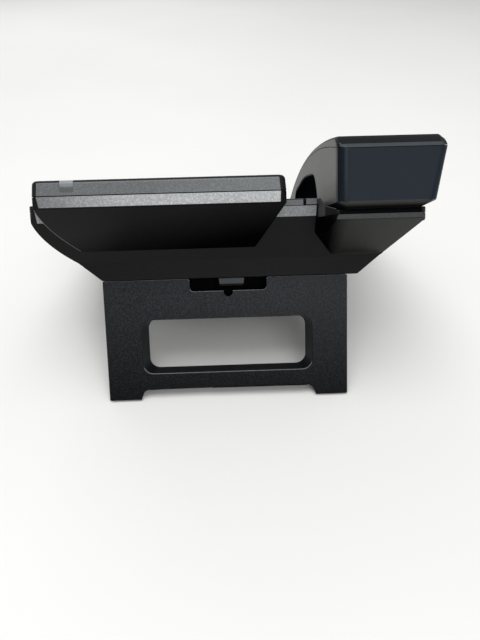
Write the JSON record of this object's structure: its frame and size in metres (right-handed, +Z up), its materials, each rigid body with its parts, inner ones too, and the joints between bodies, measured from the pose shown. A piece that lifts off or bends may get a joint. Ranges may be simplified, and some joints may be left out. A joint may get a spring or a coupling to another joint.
{
  "type": "desk phone",
  "caption": "Desk phone with a sloping keypad base, a raised display, a handset on a side cradle and a folding rear stand.",
  "frame": {"origin": "middle of the phone's bounding box at desk level", "axes": "+Z up, +X to the user's right, +Y from the user towards the back of the phone"},
  "size_m": [0.209, 0.208, 0.1414],
  "materials": {
    "shell_dark": "fine texture",
    "face_grey": "fine texture",
    "head_black": "satin",
    "stand_dark": "fine texture",
    "latch_grey": "satin",
    "handset_dark": "satin",
    "key_grey": "satin",
    "lens_black": "gloss",
    "lcd_grey": "satin",
    "lamp_clear": "translucent",
    "board_green": "satin",
    "mat_grey": "matt",
    "jack_black": "satin",
    "pad_rubber": "matt",
    "steel": "bright",
    "capsule": "satin"
  },
  "bodies": {
    "base": {"base_lower_shell": "shell_dark", "base_faceplate": "face_grey", "handset_cradle": "shell_dark", "display_bezel": "face_grey", "display_rear_cover": "head_black", "display_lens": "lens_black", "lcd_panel": "lcd_grey", "main_board": "board_green", "key_board": "board_green", "keypad_mat": "mat_grey", "loudspeaker": "capsule", "message_lamp": "lamp_clear", "network_jacks": "jack_black", "handset_ports": "jack_black", "front_pad_left": "pad_rubber", "front_pad_right": "pad_rubber", "base_screw_1": "steel", "base_screw_2": "steel", "base_screw_3": "steel", "base_screw_4": "steel", "hinge_pin_left": "steel", "hinge_pin_right": "steel"},
    "stand": {"stand": "stand_dark", "stand_pad_left": "pad_rubber", "stand_pad_right": "pad_rubber"},
    "latch": {"stand_latch": "latch_grey"},
    "handset": {"handset_front_shell": "handset_dark", "handset_back_shell": "handset_dark", "handset_receiver": "capsule", "handset_microphone": "capsule", "handset_jack": "jack_black"},
    "hook": {"hook_plunger": "shell_dark"},
    "volume": {"volume_rocker": "key_grey"},
    "key_1_body": {"key_1": "key_grey"},
    "key_2_body": {"key_2": "key_grey"},
    "key_3_body": {"key_3": "key_grey"},
    "key_4_body": {"key_4": "key_grey"},
    "key_5_body": {"key_5": "key_grey"},
    "key_6_body": {"key_6": "key_grey"},
    "key_7_body": {"key_7": "key_grey"},
    "key_8_body": {"key_8": "key_grey"},
    "key_9_body": {"key_9": "key_grey"},
    "key_star_body": {"key_star": "key_grey"},
    "key_0_body": {"key_0": "key_grey"},
    "key_hash_body": {"key_hash": "key_grey"},
    "nav_ok_body": {"nav_ok": "key_grey"},
    "nav_up_body": {"nav_up": "key_grey"},
    "nav_down_body": {"nav_down": "key_grey"},
    "nav_left_body": {"nav_left": "key_grey"},
    "nav_right_body": {"nav_right": "key_grey"},
    "speaker_key_body": {"speaker_key": "key_grey"},
    "mute_key_body": {"mute_key": "key_grey"},
    "soft_key_1_body": {"soft_key_1": "key_grey"},
    "soft_key_2_body": {"soft_key_2": "key_grey"},
    "soft_key_3_body": {"soft_key_3": "key_grey"},
    "soft_key_4_body": {"soft_key_4": "key_grey"},
    "line_key_1_body": {"line_key_1": "key_grey"},
    "line_key_2_body": {"line_key_2": "key_grey"},
    "line_key_3_body": {"line_key_3": "key_grey"},
    "line_key_4_body": {"line_key_4": "key_grey"}
  },
  "joints": [
    {"name": "stand_fold", "type": "hinge", "parent": "base", "child": "stand", "pos_m": [0.0037, 0.06028, 0.05258], "axis": [-1, 0, 0], "range_deg": [0, 90]},
    {"name": "latch_slide", "type": "slide", "parent": "base", "child": "latch", "axis": [0, -0.8572, -0.515], "range_m": [0, 0.002], "stiffness_N_per_m": 400},
    {"name": "handset_lift", "type": "slide", "parent": "base", "child": "handset", "axis": [0, -0.515, 0.8572], "range_m": [0, 0.12]},
    {"name": "hook_rise", "type": "slide", "parent": "base", "child": "hook", "axis": [0, -0.515, 0.8572], "range_m": [0, 0.003]},
    {"name": "volume_rock", "type": "hinge", "parent": "base", "child": "volume", "pos_m": [-0.0203, -0.05963, 0.0342], "axis": [1, 0, 0], "range_deg": [-1.8, 1.8], "stiffness_Nm_per_rad": 0.05},
    {"name": "key_1_press", "type": "slide", "parent": "base", "child": "key_1_body", "axis": [0, 0.515, -0.8572], "range_m": [0, 0.0012], "stiffness_N_per_m": 300},
    {"name": "key_2_press", "type": "slide", "parent": "base", "child": "key_2_body", "axis": [0, 0.515, -0.8572], "range_m": [0, 0.0012], "stiffness_N_per_m": 300},
    {"name": "key_3_press", "type": "slide", "parent": "base", "child": "key_3_body", "axis": [0, 0.515, -0.8572], "range_m": [0, 0.0012], "stiffness_N_per_m": 300},
    {"name": "key_4_press", "type": "slide", "parent": "base", "child": "key_4_body", "axis": [0, 0.515, -0.8572], "range_m": [0, 0.0012], "stiffness_N_per_m": 300},
    {"name": "key_5_press", "type": "slide", "parent": "base", "child": "key_5_body", "axis": [0, 0.515, -0.8572], "range_m": [0, 0.0012], "stiffness_N_per_m": 300},
    {"name": "key_6_press", "type": "slide", "parent": "base", "child": "key_6_body", "axis": [0, 0.515, -0.8572], "range_m": [0, 0.0012], "stiffness_N_per_m": 300},
    {"name": "key_7_press", "type": "slide", "parent": "base", "child": "key_7_body", "axis": [0, 0.515, -0.8572], "range_m": [0, 0.0012], "stiffness_N_per_m": 300},
    {"name": "key_8_press", "type": "slide", "parent": "base", "child": "key_8_body", "axis": [0, 0.515, -0.8572], "range_m": [0, 0.0012], "stiffness_N_per_m": 300},
    {"name": "key_9_press", "type": "slide", "parent": "base", "child": "key_9_body", "axis": [0, 0.515, -0.8572], "range_m": [0, 0.0012], "stiffness_N_per_m": 300},
    {"name": "key_star_press", "type": "slide", "parent": "base", "child": "key_star_body", "axis": [0, 0.515, -0.8572], "range_m": [0, 0.0012], "stiffness_N_per_m": 300},
    {"name": "key_0_press", "type": "slide", "parent": "base", "child": "key_0_body", "axis": [0, 0.515, -0.8572], "range_m": [0, 0.0012], "stiffness_N_per_m": 300},
    {"name": "key_hash_press", "type": "slide", "parent": "base", "child": "key_hash_body", "axis": [0, 0.515, -0.8572], "range_m": [0, 0.0012], "stiffness_N_per_m": 300},
    {"name": "nav_ok_press", "type": "slide", "parent": "base", "child": "nav_ok_body", "axis": [0, 0.515, -0.8572], "range_m": [0, 0.0012], "stiffness_N_per_m": 300},
    {"name": "nav_up_press", "type": "slide", "parent": "base", "child": "nav_up_body", "axis": [0, 0.515, -0.8572], "range_m": [0, 0.0012], "stiffness_N_per_m": 300},
    {"name": "nav_down_press", "type": "slide", "parent": "base", "child": "nav_down_body", "axis": [0, 0.515, -0.8572], "range_m": [0, 0.0012], "stiffness_N_per_m": 300},
    {"name": "nav_left_press", "type": "slide", "parent": "base", "child": "nav_left_body", "axis": [0, 0.515, -0.8572], "range_m": [0, 0.0012], "stiffness_N_per_m": 300},
    {"name": "nav_right_press", "type": "slide", "parent": "base", "child": "nav_right_body", "axis": [0, 0.515, -0.8572], "range_m": [0, 0.0012], "stiffness_N_per_m": 300},
    {"name": "speaker_key_press", "type": "slide", "parent": "base", "child": "speaker_key_body", "axis": [0, 0.515, -0.8572], "range_m": [0, 0.0012], "stiffness_N_per_m": 300},
    {"name": "mute_key_press", "type": "slide", "parent": "base", "child": "mute_key_body", "axis": [0, 0.515, -0.8572], "range_m": [0, 0.0012], "stiffness_N_per_m": 300},
    {"name": "soft_key_1_press", "type": "slide", "parent": "base", "child": "soft_key_1_body", "axis": [0, 0.515, -0.8572], "range_m": [0, 0.0012], "stiffness_N_per_m": 300},
    {"name": "soft_key_2_press", "type": "slide", "parent": "base", "child": "soft_key_2_body", "axis": [0, 0.515, -0.8572], "range_m": [0, 0.0012], "stiffness_N_per_m": 300},
    {"name": "soft_key_3_press", "type": "slide", "parent": "base", "child": "soft_key_3_body", "axis": [0, 0.515, -0.8572], "range_m": [0, 0.0012], "stiffness_N_per_m": 300},
    {"name": "soft_key_4_press", "type": "slide", "parent": "base", "child": "soft_key_4_body", "axis": [0, 0.515, -0.8572], "range_m": [0, 0.0012], "stiffness_N_per_m": 300},
    {"name": "line_key_1_press", "type": "slide", "parent": "base", "child": "line_key_1_body", "axis": [0, 0.515, -0.8572], "range_m": [0, 0.0012], "stiffness_N_per_m": 300},
    {"name": "line_key_2_press", "type": "slide", "parent": "base", "child": "line_key_2_body", "axis": [0, 0.515, -0.8572], "range_m": [0, 0.0012], "stiffness_N_per_m": 300},
    {"name": "line_key_3_press", "type": "slide", "parent": "base", "child": "line_key_3_body", "axis": [0, 0.515, -0.8572], "range_m": [0, 0.0012], "stiffness_N_per_m": 300},
    {"name": "line_key_4_press", "type": "slide", "parent": "base", "child": "line_key_4_body", "axis": [0, 0.515, -0.8572], "range_m": [0, 0.0012], "stiffness_N_per_m": 300}
  ],
  "couplings": [
    {"joint": "hook_rise", "follows": "handset_lift", "ratio": 0.025}
  ]
}
